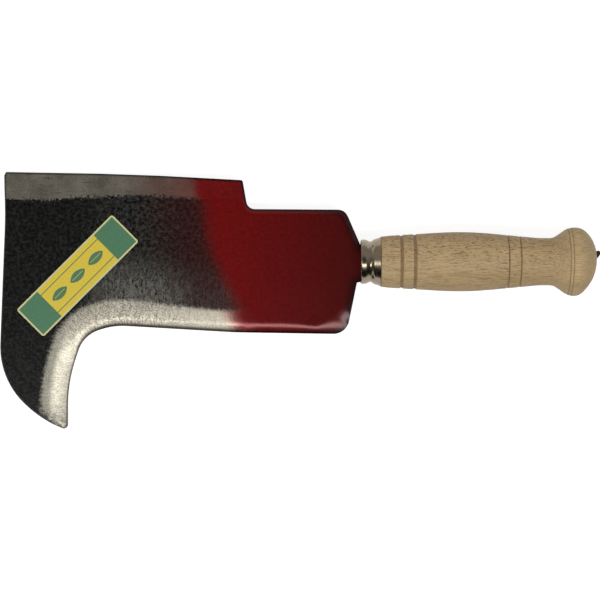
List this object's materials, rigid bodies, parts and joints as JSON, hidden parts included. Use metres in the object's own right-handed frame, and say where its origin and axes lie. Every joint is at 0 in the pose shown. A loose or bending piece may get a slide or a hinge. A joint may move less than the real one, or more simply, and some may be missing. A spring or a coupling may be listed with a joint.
{
  "type": "billhook",
  "caption": "Billhook with a broad forged blade, hooked along its lower edge and sharpened along its back, on a turned wooden handle with a metal ferrule.",
  "frame": {"origin": "centre of the ferrule's mouth, on the handle's axis, where the blade's shoulder sits on the ferrule", "axes": "+X along the handle to the pommel, +Y to the straight back edge, +Z out of the labelled side of the blade"},
  "size_m": [0.3802, 0.1632, 0.0434],
  "materials": {
    "forged_steel": "black forge scale, red paint on the heel, bright ground bevels",
    "nickel_plate": "nickel plate, polished",
    "beech": "turned, thinly varnished",
    "label_paper": "printed paper"
  },
  "bodies": {
    "root": {"blade": "forged_steel", "ferrule": "nickel_plate", "handle": "beech", "label": "label_paper"}
  },
  "joints": []
}
